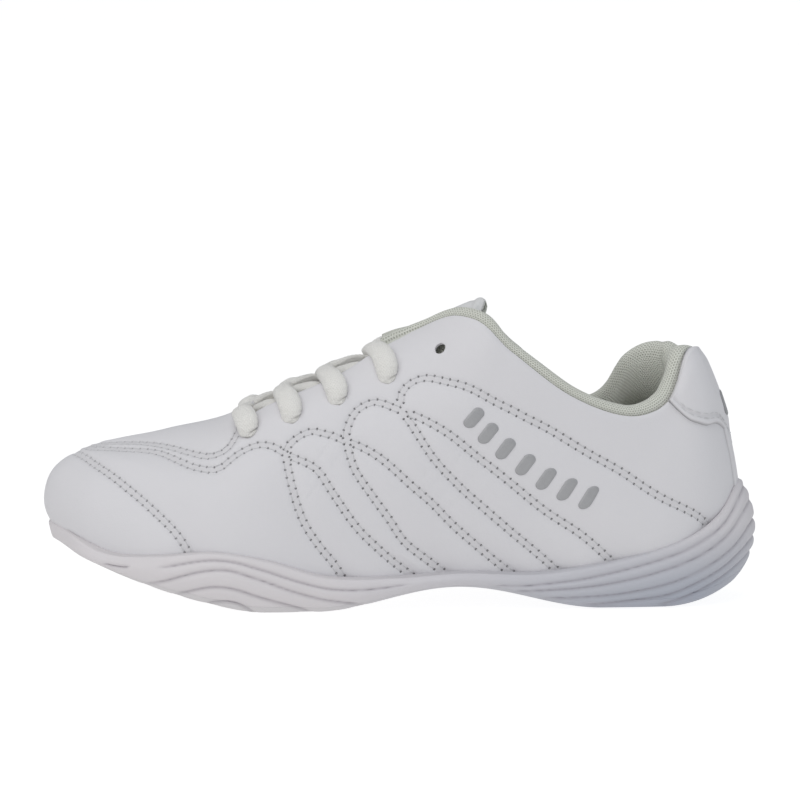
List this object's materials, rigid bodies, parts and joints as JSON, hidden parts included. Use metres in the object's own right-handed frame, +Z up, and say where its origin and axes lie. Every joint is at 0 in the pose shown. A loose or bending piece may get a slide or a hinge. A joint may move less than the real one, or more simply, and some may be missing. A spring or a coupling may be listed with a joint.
{
  "type": "cheer shoe",
  "caption": "Low white leather cheer shoe for the left foot, laced over a padded tongue, on a light grooved sole that bends at the ball.",
  "frame": {"origin": "on the ground under the middle of the shoe's outline", "axes": "+X towards the heel, +Y towards the inner (medial) side, +Z up"},
  "size_m": [0.2644, 0.0949, 0.111],
  "materials": {
    "outsole_rubber": "white moulded rubber, satin",
    "midsole_foam": "white moulded foam, satin skin with wave grooves",
    "upper_leather": "smooth white coated leather, soft sheen",
    "stiffener_board": "pressed fibre board",
    "sockliner_fabric": "brushed fabric over foam",
    "padding_foam": "open-cell foam",
    "lining_mesh": "off-white knitted mesh",
    "stay_tape": "woven reinforcing tape",
    "lace_cotton": "plump white woven lace",
    "silver_foil": "silver grey foil"
  },
  "bodies": {
    "rearfoot": {"outsole_rear": "outsole_rubber", "midsole_rear": "midsole_foam", "insole_board_rear": "stiffener_board", "sockliner_rear": "sockliner_fabric", "eyestay_lateral": "upper_leather", "eyestay_medial": "upper_leather", "eyelet_stay_lateral": "stay_tape", "eyelet_stay_medial": "stay_tape", "strap_front_lateral": "upper_leather", "strap_middle_lateral": "upper_leather", "strap_rear_lateral": "upper_leather", "strap_front_medial": "upper_leather", "strap_middle_medial": "upper_leather", "strap_rear_medial": "upper_leather", "quarter_lateral": "upper_leather", "quarter_medial": "upper_leather", "quarter_foam_lateral": "padding_foam", "quarter_foam_medial": "padding_foam", "quarter_lining_lateral": "lining_mesh", "quarter_lining_medial": "lining_mesh", "heel_lining": "lining_mesh", "heel_counter": "stiffener_board", "heel_tab": "upper_leather", "backstay": "upper_leather", "collar_foam": "padding_foam", "collar_lining": "lining_mesh", "tongue_leather": "upper_leather", "tongue_foam": "padding_foam", "tongue_lining": "lining_mesh", "lace": "lace_cotton", "side_mark_lateral": "silver_foil", "side_mark_medial": "silver_foil", "heel_mark": "silver_foil"},
    "forefoot": {"outsole_front": "outsole_rubber", "midsole_front": "midsole_foam", "insole_board_front": "stiffener_board", "sockliner_front": "sockliner_fabric", "toe_cap": "upper_leather", "toe_puff": "stiffener_board", "vamp": "upper_leather", "vamp_top": "upper_leather", "vamp_lining": "lining_mesh"},
    "tongue_flap": {"tongue_top": "upper_leather", "tongue_top_lining": "lining_mesh"}
  },
  "joints": [
    {"name": "toe_flex", "type": "hinge", "parent": "rearfoot", "child": "forefoot", "pos_m": [-0.056, 0, 0.0135], "axis": [0, 1, 0], "range_deg": [0, 35], "deforming": ["vamp", "vamp_top", "vamp_lining", "quarter_lining_lateral", "quarter_lining_medial"]},
    {"name": "tongue_flex", "type": "hinge", "parent": "rearfoot", "child": "tongue_flap", "pos_m": [0, 0, 0.0945], "axis": [0, -1, 0], "range_deg": [-10, 45]}
  ]
}
